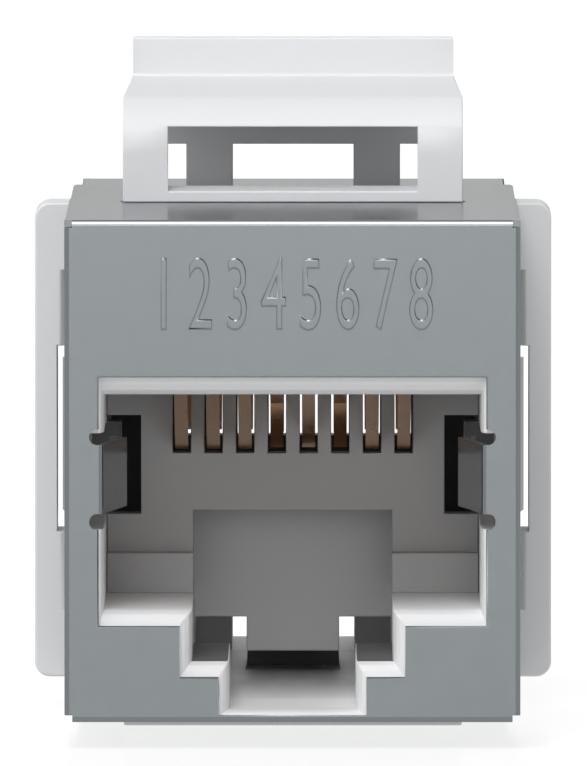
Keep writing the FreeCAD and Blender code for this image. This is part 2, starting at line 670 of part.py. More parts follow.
def make_contact_block(label, place, slot_floor, pocket_end):
    """The comb that guides the contacts: slotted wall, roof with channels, keyway window and plug stops."""
    body = new_body(label)
    comb_front = place(size.port_depth)
    comb_rear = place(BODY_FRONT)
    half = PORT_HALF - size.fit_clearance
    floor = level(PORT_FLOOR)
    slab(body, "Y", [rectangle(-half, half, floor, level(PORT_ROOF))], comb_front, comb_rear)
    roof_half = size.block_width / 2
    roof = rectangle(-roof_half, roof_half, level(PORT_ROOF), level(BLOCK_TOP))
    slab(body, "Y", [roof], place(size.bay_front), place(LAST_TAIL + size.block_margin))
    ledges = [
        rectangle(KEY_HALF * side, half * side, floor, floor + size.ledge_height)
        for side in SIDES
    ]
    slab(body, "Y", ledges, place(size.port_depth - size.ledge_depth), comb_front)
    through_front = place(size.port_depth - OVERCUT)
    through_rear = place(BODY_FRONT + OVERCUT)
    window = rectangle(-KEY_HALF, KEY_HALF, floor - OVERCUT, floor + size.window_height)
    slab(body, "Y", [window], through_front, through_rear, cut=True)
    pocket_inner = PORT_HALF - size.pocket_width
    pocket_low = level(FINGER_BOTTOM - size.pocket_below)
    pocket_high = level(FINGER_TOP + size.pocket_above)
    pockets = [
        rectangle(pocket_inner * side, (half + OVERCUT) * side, pocket_low, pocket_high)
        for side in SIDES
    ]
    slab(body, "Y", pockets, through_front, place(pocket_end), cut=True)
    first = -(size.contact_pitch * (CONTACT_COUNT - 1)) / 2
    slot = [rectangle(first - size.slot_width / 2, first + size.slot_width / 2, level(slot_floor),
                      level(CONTACT_RUN + size.contact_strip))]
    comb_slot = slab(body, "Y", slot, place(size.bay_front - OVERCUT), through_rear, cut=True)
    repeat_across(body, comb_slot, CONTACT_COUNT)
    tail_front = place(FIRST_TAIL - size.contact_strip)
    tail_rear = place(LAST_TAIL + size.contact_strip)
    channel = [rectangle(first - size.slot_width / 2, first + size.slot_width / 2,
                         level(PORT_ROOF - OVERCUT), level(CONTACT_RUN + size.contact_strip))]
    back_channel = slab(body, "Y", channel, place(BODY_FRONT - size.comb_wall / 2), tail_rear, cut=True)
    repeat_across(body, back_channel, CONTACT_COUNT)
    well = [rectangle(first - size.slot_width / 2, first + size.slot_width / 2, tail_front, tail_rear)]
    tail_well = slab(body, "Z", well, level(CONTACT_RUN), level(BLOCK_TOP + OVERCUT), cut=True)
    repeat_across(body, tail_well, CONTACT_COUNT)
    return body


def tail_depth(index):
    """Depth of a contact's tail: every other one stands in the second row."""
    return FIRST_TAIL + size.tail_stagger * (index % 2)


def contact_place(index):
    """Place of a contact across the port."""
    return size.contact_pitch * (index - (CONTACT_COUNT - 1) / 2)


def make_contact(label, place, index, slot_floor):
    """One spring contact: tail up through the board, run along the roof, front bend and sprung blade."""
    body = new_body(label)
    strip = size.contact_strip
    tail = tail_depth(index)
    run_low = CONTACT_RUN
    run_high = CONTACT_RUN + strip
    bend_low = PORT_ROOF + size.contact_rise
    tail_top = BOARD_TOP + size.tail_proud
    upper_bend = (size.contact_front, run_high)
    lower_bend = (size.contact_front, bend_low)
    tail_bend = (tail + strip / 2, run_low)
    corners = [
        (tail + strip / 2, tail_top),
        (tail - strip / 2, tail_top),
        (tail - strip / 2, run_high),
        upper_bend,
        lower_bend,
        *blade_end(index, slot_floor),
        (size.contact_front + strip, bend_low + strip),
        (size.contact_front + strip, run_low),
        tail_bend,
    ]
    side_view = [(place(back), level(up)) for back, up in corners]
    middle = contact_place(index)
    half = size.contact_width / 2
    slab(body, "X", [side_view], middle - half, middle + half)
    bends = [(place(back), level(up)) for back, up in (upper_bend, lower_bend, tail_bend)]
    round_edges(body, size.contact_bend, ("X", bends))
    return body


def blade_end(index, slot_floor):
    """Corners of a contact's free end: straight, or bent down in its slot for the middle ones."""
    strip = size.contact_strip
    tip_low = slot_floor + size.contact_tip
    if index not in DEEP_CONTACTS:
        free_end = size.port_depth + size.tip_inset
        return [(free_end, tip_low), (free_end, tip_low + strip)]
    knee = slot_floor + (size.high_knee if index in HIGH_CONTACTS else size.knee_level)
    bend = size.port_depth + size.knee_inset
    drop = size.port_depth + size.drop_inset
    return [(bend, knee), (drop, tip_low), (drop + strip, tip_low), (bend + strip, knee + strip)]


def make_circuit_board():
    """The board over the contact blocks, with one plated hole for each tail."""
    body = new_body("circuit_board")
    half = PORT_HALF - size.fit_clearance
    front = depth(FIRST_TAIL - size.board_margin)
    rear = depth_from_rear(FIRST_TAIL - size.board_margin)
    slab(body, "Z", [rectangle(-half, half, front, rear)], level(BLOCK_TOP), level(BOARD_TOP))
    corners = [(side, end) for side in (half, -half) for end in (front, rear)]
    round_edges(body, size.board_corner, ("Z", corners))
    holes = [
        (contact_place(index), place(tail_depth(index)), size.tail_hole / 2)
        for place in (depth, depth_from_rear)
        for index in range(CONTACT_COUNT)
    ]
    rods(body, "Z", holes, level(BLOCK_TOP - OVERCUT), level(BOARD_TOP + OVERCUT), cut=True)
    return body


def make_center_body():
    """The moulding between the sockets: tunnel, stop wall, ears, hook, hinge groove and leg pocket."""
    body = new_body("center_body")
    half = SHIELD_INNER - size.fit_clearance
    front = depth(BODY_FRONT)
    rear = depth(BODY_REAR)
    top = level(TOP_UNDERSIDE - size.fit_clearance)
    slab(body, "Y", [rectangle(-half, half, level(size.sheet), top)], front, rear)
    add_ears(body, half)
    tunnel = mirrored([
        (KEY_HALF, level(CATCH_FLOOR)),
        (KEY_HALF, level(PORT_FLOOR)),
        (PORT_HALF, level(PORT_FLOOR)),
        (PORT_HALF, level(TUNNEL_TOP)),
    ])
    slab(body, "Y", [tunnel], front - OVERCUT, rear + OVERCUT, cut=True)
    add_stop(body, half)
    step_front = depth(SHIELD_END - size.lap_length - size.butt_gap)
    step_low = level(REAR_SHIELD_TOP - size.sheet - size.fit_clearance)
    step = rectangle(step_front, rear + OVERCUT, step_low, top + OVERCUT)
    slab(body, "X", [step], -SHIELD_OUTER, SHIELD_OUTER, cut=True)
    add_hook(body)
    cut_latch_seat(body, half, top)
    return body


def add_stop(body, half):
    """Add the stop wall across the tunnel: a wide T with a narrower head, its stem drawn out to a rail."""
    front = depth(BODY_FRONT + size.stop_inset)
    rear = front + size.stop_thickness
    stem_half = size.stem_width / 2
    wall_half = (PORT_HALF + half) / 2
    head_half = size.stop_head / 2
    bottom = level(KEY_FLOOR + size.stop_gap)
    shoulder = level(PORT_FLOOR + size.stop_shoulder)
    stop = mirrored([
        (stem_half, level(CATCH_FLOOR + size.stem_gap)),
        (stem_half, bottom),
        (wall_half, bottom),
        (wall_half, shoulder),
        (head_half, shoulder),
        (head_half, level(SLOT_FLOOR - size.stop_headroom)),
    ])
    slab(body, "Y", [stop], front, rear)
    rail = rectangle(-stem_half, stem_half, level(CATCH_FLOOR + size.stem_gap), bottom)
    slab(body, "Y", [rail], front, front + size.stem_run)
    foot_front = front + size.stem_run - size.foot_thickness
    well_floor = level(CATCH_FLOOR - size.well_depth)
    well = rectangle(-stem_half, stem_half, front + size.well_inset, foot_front)
    slab(body, "Z", [well], well_floor, level(CATCH_FLOOR + size.stem_gap / 2), cut=True)
    foot = rectangle(-stem_half, stem_half, well_floor, bottom)
    slab(body, "Y", [foot], foot_front, front + size.stem_run)
    rib_inner = PORT_HALF - size.rib_width
    rib_top = level(FINGER_TOP + size.rib_rise)
    rib_low = level((FINGER_BOTTOM + FINGER_TOP) / 2)
    ribs = [rectangle(rib_inner * side, wall_half * side, rib_low, rib_top) for side in SIDES]
    slab(body, "Y", ribs, depth(BODY_FRONT), depth(BODY_FRONT + size.rib_length))


def add_ears(body, half):
    """Add the two side ears with their through slots and shallow sloped recesses."""
    ear_front = depth(EAR_FRONT)
    rear = depth(EAR_REAR)
    ear_inner = SHIELD_OUTER + size.fit_clearance
    ear_low = level(size.ear_bottom_inset)
    ear_high = level(SHIELD_TOP - size.ear_top_inset)
    neck_low = level(size.sheet + size.fit_clearance)
    neck_high = ear_high - size.fit_clearance
    neck_outer = ear_inner + size.ear_reach / 2
    necks = [
        rectangle((half - size.sheet) * side, neck_outer * side, neck_low, neck_high)
        for side in SIDES
    ]
    slab(body, "Y", necks, ear_front + size.ear_neck_inset, rear - size.ear_neck_inset)
    ears = [rectangle(ear_inner * side, EAR_OUTER * side, ear_low, ear_high) for side in SIDES]
    slab(body, "Y", ears, ear_front, rear)
    corners = [(EAR_OUTER * side, up) for side in SIDES for up in (ear_low, ear_high)]
    round_edges(body, size.ear_corner, ("Y", corners))
    upright = [(EAR_OUTER * side, end) for side in SIDES for end in (ear_front, rear)]
    round_edges(body, size.ear_edge, ("Z", upright))
    slot_low = level(size.ear_slot_level)
    slot_high = slot_low + size.ear_slot_height
    slot_outer = SHIELD_OUTER + size.ear_slot_width
    slots = [rectangle(half * side, slot_outer * side, slot_low, slot_high) for side in SIDES]
    slab(body, "Y", slots, ear_front - OVERCUT, rear + OVERCUT, cut=True)
    recess_low = slot_low - size.ear_recess_below
    recess_high = slot_high + size.ear_recess_above
    recess_outer = SHIELD_OUTER + size.ear_recess_width
    recess_end = ear_front + size.ear_recess_depth
    recesses = []
    for side in SIDES:
        recesses.append([
            (half * side, ear_front - OVERCUT),
            (recess_outer * side, ear_front - OVERCUT),
            (recess_outer * side, ear_front),
            (ear_inner * side, recess_end),
            (half * side, recess_end),
        ])
    slab(body, "Z", recesses, recess_low, recess_high, cut=True)


def add_hook(body):
    """Add the fixed hook under the body, with a square catch face and a ramped end."""
    hook_front = depth(BODY_FRONT + size.hook_inset)
    hook_rear = depth(BODY_REAR - size.hook_rear_inset)
    half = size.hook_width / 2
    bottom = level(-size.hook_drop)
    root = level(size.sheet + size.floor_web / 2)
    side_view = [
        (hook_front, root),
        (hook_front, bottom),
        (hook_rear - size.hook_ramp, bottom),
        (hook_rear, level(0)),
        (hook_rear, root),
    ]
    slab(body, "X", [side_view], -half, half)


def cut_latch_seat(body, half, top):
    """Cut the hinge groove and the pocket that the latch's legs move in."""
    hinge_y = depth(HINGE_DEPTH)
    hinge_z = level(HINGE_LEVEL)
    groove_radius = size.bead_radius + size.bead_clearance
    past_side = half + OVERCUT
    rods(body, "X", [(hinge_y, hinge_z, groove_radius)], -past_side, past_side, cut=True)
    neck_front = hinge_y - size.neck_width / 2 - size.swing_room / 2
    neck_rear = hinge_y + size.neck_width / 2 + size.swing_room
    neck = rectangle(neck_front, neck_rear, hinge_z, top + OVERCUT)
    slab(body, "X", [neck], -past_side, past_side, cut=True)
    pocket_half = (size.leg_spacing + size.leg_width) / 2 + size.swing_room
    pocket = rectangle(-pocket_half, pocket_half, depth(LEG_FRONT - size.swing_room),
                       depth(LATCH_REAR + size.swing_room))
    pocket_floor = level(SHIELD_TOP - size.leg_reach - size.press_room)
    slab(body, "Z", [pocket], pocket_floor, top + OVERCUT, cut=True)


def make_latch():
    """The sprung latch: a windowed arch on a hinge bead, with a thumb tab and two legs at its rear."""
    body = new_body("latch")
    half = size.latch_width / 2
    front = depth(LATCH_FRONT)
    wall_rear = front + size.latch_wall
    rear = depth(LATCH_REAR)
    bar_front = depth(LEG_FRONT)
    tab_front = rear - size.tab_thickness
    base = level(SHIELD_TOP + size.latch_lift)
    arch_under = level(SHIELD_TOP + size.arch_height)
    shelf_front = level(SHIELD_TOP + size.shelf_height)
    shelf_rear = shelf_front + size.shelf_rise
    tab_top = shelf_rear + size.tab_height
    bar_low = level(SHIELD_TOP + size.bar_level)
    hinge_y = depth(HINGE_DEPTH)
    hinge_z = level(HINGE_LEVEL)
    skirt_rear = front + size.skirt_depth
    skirt_low = level(SHIELD_TOP + size.skirt_lift)
    side_view = [
        (front, skirt_low),
        (skirt_rear, skirt_low),
        (skirt_rear, base),
        (wall_rear, base),
        (wall_rear, arch_under),
        (bar_front, arch_under + size.shelf_rise),
        (bar_front, bar_low),
        (rear, bar_low),
        (rear, tab_top),
        (tab_front, tab_top),
        (tab_front, shelf_rear),
        (front, shelf_front),
    ]
    slab(body, "X", [side_view], -half, half)
    round_edges(body, size.shoulder_radius, ("X", [(front, shelf_front)]))
    round_edges(body, size.arch_radius, ("X", [(wall_rear, arch_under)]))
    round_edges(body, size.tab_round, ("X", [(rear, tab_top), (tab_front, tab_top)]))
    round_edges(body, size.tab_fillet, ("X", [(tab_front, shelf_rear)]))
    taper_start = front + size.shoulder_radius
    rear_half = size.latch_rear_width / 2
    tapers = []
    for side in SIDES:
        tapers.append([
            (half * side, taper_start),
            (rear_half * side, rear),
            (rear_half * side, rear + OVERCUT),
            ((half + OVERCUT) * side, rear + OVERCUT),
            ((half + OVERCUT) * side, taper_start),
        ])
    slab(body, "Z", tapers, base - OVERCUT, tab_top + OVERCUT, cut=True)
    window_half = half - size.post_width
    sill_front = level(SHIELD_TOP + size.sill_height)
    sill_rear = sill_front + size.sill_rise
    past_wall = wall_rear + size.arch_radius
    window = [
        (front - OVERCUT, sill_front),
        (front, sill_front),
        (wall_rear, sill_rear),
        (past_wall, sill_rear),
        (past_wall, arch_under),
        (front - OVERCUT, arch_under),
    ]
    slab(body, "X", [window], -window_half, window_half, cut=True)
    round_edges(body, size.sill_round, ("X", [(front, sill_front)]))
    foot = rectangle(hinge_y - size.neck_width / 2, hinge_y + size.neck_width / 2, hinge_z, base)
    slab(body, "X", [foot], -half, half)
    rods(body, "X", [(hinge_y, hinge_z, size.bead_radius)], -half, half)
    leg_bottom = level(SHIELD_TOP - size.leg_reach)
    legs = []
    for side in SIDES:
        inner = (size.leg_spacing - size.leg_width) / 2
        legs.append(rectangle(inner * side, (inner + size.leg_width) * side, leg_bottom, bar_low))
    slab(body, "Y", legs, bar_front, rear)
    return body


def build_pieces():
    """Build every piece of the coupler."""
    rear_slot_floor = SLOT_FLOOR - size.rear_slot_extra
    front_half = SHIELD_INNER - size.fit_clearance
    rear_half = REAR_SHIELD_OUTER - size.sheet - size.fit_clearance
    front_top = TOP_UNDERSIDE - size.fit_clearance
    rear_top = REAR_SHIELD_TOP - size.sheet - size.fit_clearance
    pieces = [
        make_front_shield(),
        make_rear_shield(),
        make_socket("front_socket", depth, front_half, front_top, BODY_FRONT),
        make_socket("rear_socket", depth_from_rear, rear_half, rear_top, size.port_depth),
        make_contact_block("front_contact_block", depth, SLOT_FLOOR, BODY_FRONT + OVERCUT),
        make_contact_block("rear_contact_block", depth_from_rear, rear_slot_floor,
                           BODY_FRONT - size.pocket_web),
        make_circuit_board(),
        make_center_body(),
        make_latch(),
    ]
    for index in range(CONTACT_COUNT):
        number = index + 1
        pieces.append(make_contact(f"front_contact_{number}", depth, index, SLOT_FLOOR))
        pieces.append(make_contact(f"rear_contact_{number}", depth_from_rear, index, rear_slot_floor))
    return pieces


def check_document(pieces):
    """Stop if any object failed or any piece isn't one valid solid."""
    for item in doc.Objects:
        if "Invalid" in item.State or "Error" in item.State:
            raise ValueError(f"{item.Label} failed to build")
    for piece in pieces:
        if piece.Shape.isNull() or not piece.Shape.isValid():
            raise ValueError(f"{piece.Label} has no valid shape")
        if len(piece.Shape.Solids) != 1:
            raise ValueError(f"{piece.Label} has {len(piece.Shape.Solids)} solids")


def write_steps(pieces):
    """Write one STEP file for each piece."""
    os.makedirs("parts", exist_ok=True)
    for piece in pieces:
        piece.Shape.exportStep(f"parts/{piece.Label}.step")


coupler = build_pieces()
doc.recompute()
check_document(coupler)
write_steps(coupler)
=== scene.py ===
"""Dresses the keystone coupler: finishes, coined pin numbers, floor, light and camera."""
import logging
import math
from dataclasses import dataclass, field
from enum import Enum
from typing import Callable, Dict, List, Tuple

import bmesh
import bpy
from mathutils import Matrix, Vector


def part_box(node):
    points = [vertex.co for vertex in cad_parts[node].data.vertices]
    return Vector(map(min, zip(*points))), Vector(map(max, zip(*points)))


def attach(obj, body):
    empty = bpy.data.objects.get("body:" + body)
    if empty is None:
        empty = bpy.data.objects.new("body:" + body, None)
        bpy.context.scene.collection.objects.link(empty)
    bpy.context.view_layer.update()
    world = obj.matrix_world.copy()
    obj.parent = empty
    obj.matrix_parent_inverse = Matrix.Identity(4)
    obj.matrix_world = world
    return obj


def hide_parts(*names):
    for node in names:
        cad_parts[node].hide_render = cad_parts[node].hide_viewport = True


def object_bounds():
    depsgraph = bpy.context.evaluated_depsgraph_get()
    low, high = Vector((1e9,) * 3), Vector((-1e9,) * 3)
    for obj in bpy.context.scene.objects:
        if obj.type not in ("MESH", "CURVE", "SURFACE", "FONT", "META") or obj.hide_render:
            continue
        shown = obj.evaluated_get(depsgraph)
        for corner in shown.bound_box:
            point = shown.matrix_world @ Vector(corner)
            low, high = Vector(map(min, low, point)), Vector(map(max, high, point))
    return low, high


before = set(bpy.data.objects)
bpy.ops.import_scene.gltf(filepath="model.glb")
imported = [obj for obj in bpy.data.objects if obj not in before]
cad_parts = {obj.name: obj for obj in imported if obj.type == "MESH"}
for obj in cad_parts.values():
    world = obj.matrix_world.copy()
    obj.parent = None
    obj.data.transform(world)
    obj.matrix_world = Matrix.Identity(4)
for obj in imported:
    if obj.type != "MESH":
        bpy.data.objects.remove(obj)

LOG = logging.getLogger("keystone_coupler")
CAD_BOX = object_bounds()
MM = 0.001
CONTACT_COUNT = 8
GRAIN_DETAIL = 3.0
STREAK_DETAIL = 4.0
DRIFT_DETAIL = 2.0
ROLLING_STRETCH = (1.0, 0.06, 1.0)
FACING = 0.9
LEVEL = 0.97
Color = Tuple[float, float, float]
PLATING_SHADE: Color = (0.312, 0.337, 0.352)
PLATING_TINT: Color = (0.322, 0.347, 0.362)
PLATING_ROUGHNESS = 0.18


class Body(Enum):
    """Bodies of the frame that a piece can ride on."""

    HOUSING = "housing"
    LATCH = "latch"


class Port(Enum):
    """The two ends of the coupler."""

    FRONT = "front"
    REAR = "rear"


class Slot(Enum):
    """Material slots of the record."""

    SHIELD = "shield_metal"
    SOCKET = "socket_plastic"
    BODY = "body_plastic"
    COMB = "comb_plastic"
    BOARD = "board_laminate"
    CONTACT = "contact_metal"


def new_group(name: str, inputs: Dict[str, float], outputs: List[str]) -> bpy.types.NodeTree:
    """Start a shader node group with named values in and out.

    Args:
        name: The group's name.
        inputs: Default value of each input.
        outputs: Name of each output value.

    Returns:
        The node tree, with its group input and output nodes in place.
    """
    tree = bpy.data.node_groups.new(name, "ShaderNodeTree")
    for label, value in inputs.items():
        socket = tree.interface.new_socket(label, in_out="INPUT", socket_type="NodeSocketFloat")
        socket.default_value = value
    for label in outputs:
        tree.interface.new_socket(label, in_out="OUTPUT", socket_type="NodeSocketFloat")
    tree.nodes.new("NodeGroupInput").name = "in"
    tree.nodes.new("NodeGroupOutput").name = "out"
    return tree


def add_noise(tree: bpy.types.NodeTree, detail: float) -> bpy.types.Node:
    """Place a noise texture.

    Args:
        tree: The tree that gets the node.
        detail: Octaves of the noise.

    Returns:
        The noise node.
    """
    noise = tree.nodes.new("ShaderNodeTexNoise")
    noise.inputs["Detail"].default_value = detail
    return noise


@dataclass
class FinishGroups:
    """Shader node groups that the finishes share."""

    grain: bpy.types.NodeTree = field(init=False)
    rolling: bpy.types.NodeTree = field(init=False)

    def __post_init__(self) -> None:
        """Build each group once."""
        self.grain = self.build_grain()
        self.rolling = self.build_rolling()

    def build_grain(self) -> bpy.types.NodeTree:
        """Build the fine spark-eroded grain of a moulding.

        Returns:
            A group that puts out Mottle, a slow drift of tone, and Height, the grain itself.
        """
        scales = {"Grain Scale": 9000.0, "Mottle Scale": 260.0}
        tree = new_group("moulded_grain", scales, ["Mottle", "Height"])
        source = tree.nodes["in"]
        place = tree.nodes.new("ShaderNodeTexCoord")
        grain = add_noise(tree, GRAIN_DETAIL)
        mottle = add_noise(tree, DRIFT_DETAIL)
        for noise, scale in ((grain, "Grain Scale"), (mottle, "Mottle Scale")):
            tree.links.new(place.outputs["Object"], noise.inputs["Vector"])
            tree.links.new(source.outputs[scale], noise.inputs["Scale"])
        tree.links.new(mottle.outputs["Fac"], tree.nodes["out"].inputs["Mottle"])
        tree.links.new(grain.outputs["Fac"], tree.nodes["out"].inputs["Height"])
        return tree

    def build_rolling(self) -> bpy.types.NodeTree:
        """Build the faint streaks that rolling leaves along a metal sheet.

        Returns:
            A group that puts out Streak, drawn out along the coupler, and Cloud, a slow drift.
        """
        scales = {"Streak Scale": 2600.0, "Cloud Scale": 180.0}
        tree = new_group("rolled_sheet", scales, ["Streak", "Cloud"])
        source = tree.nodes["in"]
        place = tree.nodes.new("ShaderNodeTexCoord")
        stretch = tree.nodes.new("ShaderNodeMapping")
        stretch.inputs["Scale"].default_value = ROLLING_STRETCH
        streak = add_noise(tree, STREAK_DETAIL)
        cloud = add_noise(tree, DRIFT_DETAIL)
        tree.links.new(place.outputs["Object"], stretch.inputs["Vector"])
        tree.links.new(stretch.outputs["Vector"], streak.inputs["Vector"])
        tree.links.new(place.outputs["Object"], cloud.inputs["Vector"])
        tree.links.new(source.outputs["Streak Scale"], streak.inputs["Scale"])
        tree.links.new(source.outputs["Cloud Scale"], cloud.inputs["Scale"])
        tree.links.new(streak.outputs["Fac"], tree.nodes["out"].inputs["Streak"])
        tree.links.new(cloud.outputs["Fac"], tree.nodes["out"].inputs["Cloud"])
        return tree


def mix_colors(tree: bpy.types.NodeTree, mask: bpy.types.NodeSocket, low: Color,
               high: Color) -> bpy.types.NodeSocket:
    """Mix two tones by a mask.

    Args:
        tree: The material's tree.
        mask: The socket that drives the mix.
        low: Tone where the mask is 0.
        high: Tone where the mask is 1.

    Returns:
        The mixed colour's socket.
    """
    mix = tree.nodes.new("ShaderNodeMix")
    mix.data_type = "RGBA"
    mix.inputs["A"].default_value = (*low, 1.0)
    mix.inputs["B"].default_value = (*high, 1.0)
    tree.links.new(mask, mix.inputs["Factor"])
    return mix.outputs["Result"]


def spread_value(tree: bpy.types.NodeTree, mask: bpy.types.NodeSocket, low: float,
                 high: float) -> bpy.types.NodeSocket:
    """Spread a mask of 0 to 1 over a range of values.

    Args:
        tree: The material's tree.
        mask: The socket to spread.
        low: Value where the mask is 0.
        high: Value where the mask is 1.

    Returns:
        The spread value's socket.
    """
    spread = tree.nodes.new("ShaderNodeMapRange")
    spread.inputs["To Min"].default_value = low
    spread.inputs["To Max"].default_value = high
    tree.links.new(mask, spread.inputs["Value"])
    return spread.outputs["Result"]


def new_material(name: str) -> Tuple[bpy.types.Material, bpy.types.Node]:
    """Start a node material.

    Args:
        name: The material's name.

    Returns:
        The material and its Principled shader.
    """
    material = bpy.data.materials.new(name)
    material.use_nodes = True
    return material, material.node_tree.nodes["Principled BSDF"]


def add_bump(tree: bpy.types.NodeTree, shader: bpy.types.Node, height: bpy.types.NodeSocket,
             depth: float) -> None:
    """Roughen a shader's surface.

    Args:
        tree: The material's tree.
        shader: The Principled shader.
        height: Height of the relief, from 0 to 1.
        depth: Depth of the relief in metres.
    """
    bump = tree.nodes.new("ShaderNodeBump")
    bump.inputs["Distance"].default_value = depth
    bump.inputs["Strength"].default_value = 1.0
    tree.links.new(height, bump.inputs["Height"])
    tree.links.new(bump.outputs["Normal"], shader.inputs["Normal"])


@dataclass(frozen=True)
class MouldedPlastic:
    """A satin moulding with fine grain."""

    name: str
    shade: Color
    tint: Color
    roughness: float = 0.42
    roughness_swing: float = 0.1
    grain_depth: float = 0.0016 * MM

    def material(self, groups: FinishGroups) -> bpy.types.Material:
        """Make the finish.

        Args:
            groups: The shared node groups.

        Returns:
            The finished material.
        """
        material, shader = new_material(self.name)
        tree = material.node_tree
        grain = tree.nodes.new("ShaderNodeGroup")
        grain.node_tree = groups.grain
        tone = mix_colors(tree, grain.outputs["Mottle"], self.shade, self.tint)
        tree.links.new(tone, shader.inputs["Base Color"])
        low = self.roughness - self.roughness_swing / 2
        rough = spread_value(tree, grain.outputs["Height"], low, low + self.roughness_swing)
        tree.links.new(rough, shader.inputs["Roughness"])
        add_bump(tree, shader, grain.outputs["Height"], self.grain_depth)
        return material


@dataclass(frozen=True)
class PlatedSheet:
    """Plated metal with faint rolling streaks."""

    name: str
    shade: Color
    tint: Color
    roughness: float = 0.3
    roughness_swing: float = 0.04
    streak_depth: float = 0.0002 * MM
    streak_scale: float = 2600.0
    edge_tint: float = 0.7

    def material(self, groups: FinishGroups) -> bpy.types.Material:
        """Make the finish.

        Args:
            groups: The shared node groups.

        Returns:
            The finished material.
        """
        material, shader = new_material(self.name)
        tree = material.node_tree
        shader.inputs["Metallic"].default_value = 1.0
        shader.inputs["Specular Tint"].default_value = (self.edge_tint, self.edge_tint, self.edge_tint, 1.0)
        sheet = tree.nodes.new("ShaderNodeGroup")
        sheet.node_tree = groups.rolling
        sheet.inputs["Streak Scale"].default_value = self.streak_scale
        tone = mix_colors(tree, sheet.outputs["Cloud"], self.shade, self.tint)
        tree.links.new(tone, shader.inputs["Base Color"])
        low = self.roughness - self.roughness_swing / 2
        rough = spread_value(tree, sheet.outputs["Streak"], low, low + self.roughness_swing)
        tree.links.new(rough, shader.inputs["Roughness"])
        add_bump(tree, shader, sheet.outputs["Streak"], self.streak_depth)
        return material


def dress(node: str, material: bpy.types.Material) -> None:
    """Give a CAD node its finish.

    Args:
        node: Name of the node.
        material: The finish.
    """
    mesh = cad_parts[node].data
    mesh.materials.clear()
    mesh.materials.append(material)
    LOG.info("dressed %s with %s", node, material.name)


@dataclass(frozen=True)
class SoftEdges:
    """Rounding that moulding or blanking leaves along a piece's outer edges.

    Args:
        width: Width of the rounding.
        least: Shortest edge that gets it, in widths.
        join_flat: Whether triangles in one plane become one face first.
        reach: Farthest place from the middle, across, that gets it.
    """

    width: float
    least: float = 2.0
    join_flat: bool = True
    reach: float = math.inf
    segments: int = 2
    merge: float = 0.0001 * MM
    flat_angle: float = math.radians(0.2)
    sharp_angle: float = math.radians(30.0)
    smooth_angle: float = math.radians(35.0)

    def copy(self, node: str, body: Body, slot: Slot, material: bpy.types.Material) -> bpy.types.Object:
        """Make a softened copy of a CAD node that stands for it.

        Args:
            node: Name of the node.
            body: Body that the node rides on.
            slot: Material slot of the record; not used.
            material: The finish.

        Returns:
            The copy, in the node's place.
        """
        mesh = bpy.data.meshes.new(f"{node}_soft")
        self.soften(node, mesh)
        mesh.polygons.foreach_set("use_smooth", [True] * len(mesh.polygons))
        mesh.set_sharp_from_angle(angle=self.smooth_angle)
        mesh.materials.append(material)
        piece = bpy.data.objects.new(mesh.name, mesh)
        piece.modifiers.new("even_faces", "WEIGHTED_NORMAL").keep_sharp = True
        bpy.context.collection.objects.link(piece)
        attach(piece, body.value)
        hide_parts(node)
        LOG.info("softened %s, finish %s", node, material.name)
        return piece

    def soften(self, node: str, mesh: bpy.types.Mesh) -> None:
        """Merge a node's triangles and round its outer edges.

        Args:
            node: Name of the node.
            mesh: The mesh that takes the result.
        """
        shell = bmesh.new()
        shell.from_mesh(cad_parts[node].data)
        bmesh.ops.remove_doubles(shell, verts=shell.verts, dist=self.merge)
        if self.join_flat:
            bmesh.ops.dissolve_limit(shell, angle_limit=self.flat_angle, verts=shell.verts, edges=shell.edges)
        outer = [edge for edge in shell.edges if self.is_outer(edge)]
        bmesh.ops.bevel(shell, geom=outer, offset=self.width, offset_type="OFFSET", affect="EDGES",
                        segments=self.segments, profile=0.5, clamp_overlap=False, material=-1)
        shell.to_mesh(mesh)
        shell.free()

    def is_outer(self, edge: bmesh.types.BMEdge) -> bool:
        """Tell whether an edge is an outer corner that is long enough to round.

        Args:
            edge: An edge of the merged copy.

        Returns:
            True for an edge that gets the rounding.
        """
        if not edge.is_manifold or not edge.is_convex:
            return False
        if any(abs(corner.co.x) > self.reach for corner in edge.verts):
            return False
        return edge.calc_face_angle() > self.sharp_angle and edge.calc_length() > self.least * self.width


def repaint(piece: bpy.types.Object, material: bpy.types.Material,
            chosen: Callable[[bpy.types.MeshPolygon], bool]) -> None:
    """Give some faces of a piece a second finish.

    Args:
        piece: The piece.
        material: The second finish.
        chosen: Tells whether a face gets it.
    """
    piece.data.materials.append(material)
    index = len(piece.data.materials) - 1
    for face in piece.data.polygons:
        if chosen(face):
            face.material_index = index


@dataclass
class ShieldPair:
    """The two folded shields."""

    nodes: Tuple[str, ...] = ("front_shield", "rear_shield")
    edges: SoftEdges = SoftEdges(0.02 * MM, reach=6.7 * MM)
    face_depth: float = 0.4 * MM
    port_half: float = 6.4 * MM
    finger_low: float = 5.0 * MM
    finger_high: float = 12.0 * MM

    def build(self, metal: bpy.types.Material, finger_sheen: bpy.types.Material) -> None:
        """Make both shields in their plating.

        Args:
            metal: Finish of the shields.
            finger_sheen: Finish of the ground fingers: the shield plating with full edge tint, a painted
                sheen that lifts them out of the port's shade.
        """
        for node in self.nodes:
            piece = self.edges.copy(node, Body.HOUSING, Slot.SHIELD, metal)
            # Painted sheen: the fingers get the brighter-edged copy of the plating so that they read lighter
            # in the port's shade.
            repaint(piece, finger_sheen, self.is_finger)

    def is_finger(self, face: bpy.types.MeshPolygon) -> bool:
        """Tell whether a face is on a ground finger, inside the port.

        Args:
            face: A face of a shield.

        Returns:
            True for a face of a finger.
        """
        across, along, up = face.center
        inside = abs(along) < CAD_BOX[1][1] - self.face_depth
        return inside and abs(across) < self.port_half and self.finger_low < up < self.finger_high


